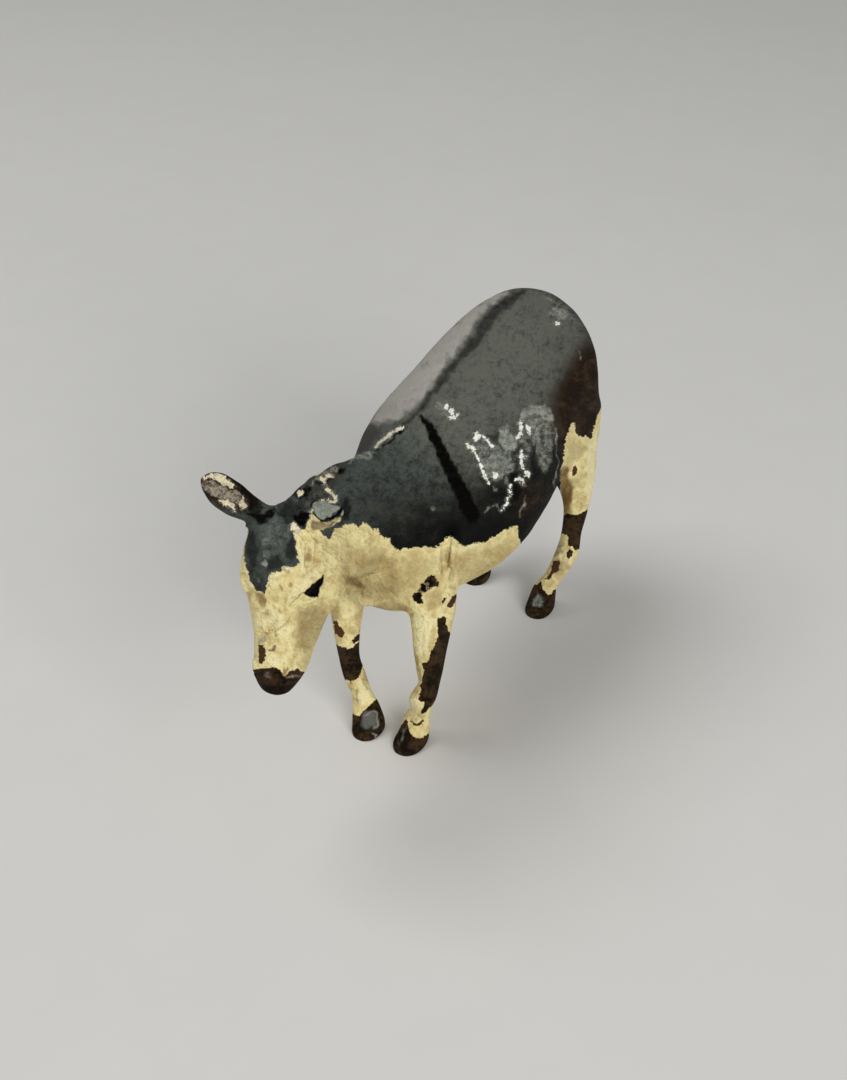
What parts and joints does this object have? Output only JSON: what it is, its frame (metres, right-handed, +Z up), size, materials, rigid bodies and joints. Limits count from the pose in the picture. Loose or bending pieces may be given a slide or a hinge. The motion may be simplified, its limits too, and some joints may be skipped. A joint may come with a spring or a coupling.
{
  "type": "lead donkey figure",
  "caption": "Painted cast-lead toy donkey standing with a lowered head: hollow body casting with soldered head, legs, ear and tail, one ear broken off.",
  "frame": {"origin": "on the surface that the hooves stand on, under the middle of the figure's box", "axes": "+X the way the donkey faces, +Y its left side, +Z up"},
  "size_m": [0.0616, 0.0204, 0.0397],
  "materials": {
    "dark_coat": "worn satin charcoal-grey enamel over lead",
    "cream_coat": "thick brushed cream enamel over lead, chipped and dirty",
    "bare_lead": "bare broken cast lead, dull grey",
    "solder": "soft solder, satin grey"
  },
  "bodies": {
    "root": {"body": "dark_coat", "head": "cream_coat", "head_solder": "solder", "front_left_leg": "cream_coat", "front_left_leg_solder": "solder", "front_right_leg": "cream_coat", "front_right_leg_solder": "solder", "hind_left_leg": "cream_coat", "hind_left_leg_solder": "solder", "hind_right_leg": "cream_coat", "hind_right_leg_solder": "solder", "right_ear": "dark_coat", "right_ear_solder": "solder", "left_ear_stump": "bare_lead", "left_ear_solder": "solder", "tail": "dark_coat", "tail_solder": "solder"}
  },
  "joints": []
}
